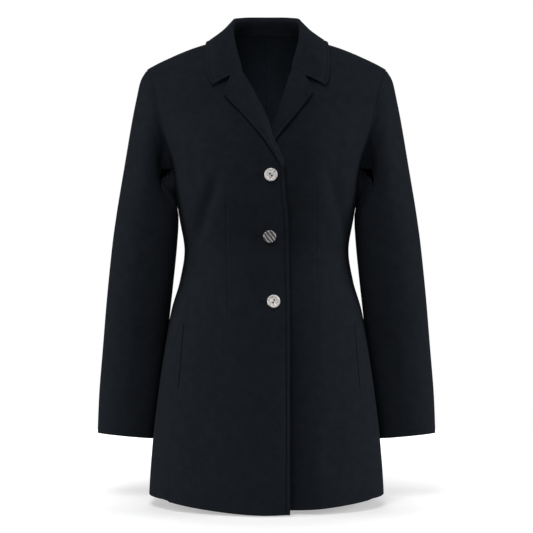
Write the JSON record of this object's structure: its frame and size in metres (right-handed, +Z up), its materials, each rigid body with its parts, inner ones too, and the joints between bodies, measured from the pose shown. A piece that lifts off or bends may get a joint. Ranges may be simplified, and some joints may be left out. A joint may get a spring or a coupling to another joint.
{
  "type": "blazer",
  "caption": "Long fitted single-breasted blazer with a notched collar, set-in sleeves and side seam pockets, held open in its worn shape with no wearer.",
  "frame": {"origin": "between the wearer's shoulders, level with the place where the collar meets the shoulder seams", "axes": "+Z up, -Y towards the front, +X towards the wearer's left"},
  "size_m": [0.5698, 0.2774, 0.8046],
  "materials": {
    "cloth": "matte fine weave",
    "pale_button": "pearly gloss",
    "dark_button": "gloss"
  },
  "bodies": {
    "root": {"front_left": "cloth", "front_right": "cloth", "side_panel_left": "cloth", "side_panel_right": "cloth", "back_left": "cloth", "back_right": "cloth", "upper_sleeve_left": "cloth", "upper_sleeve_right": "cloth", "under_sleeve_left": "cloth", "under_sleeve_right": "cloth", "lapel_left": "cloth", "lapel_right": "cloth", "pocket_facing_left": "cloth", "pocket_facing_right": "cloth", "collar": "cloth", "top_button": "pale_button", "lower_button": "pale_button", "middle_button": "dark_button"}
  },
  "joints": []
}
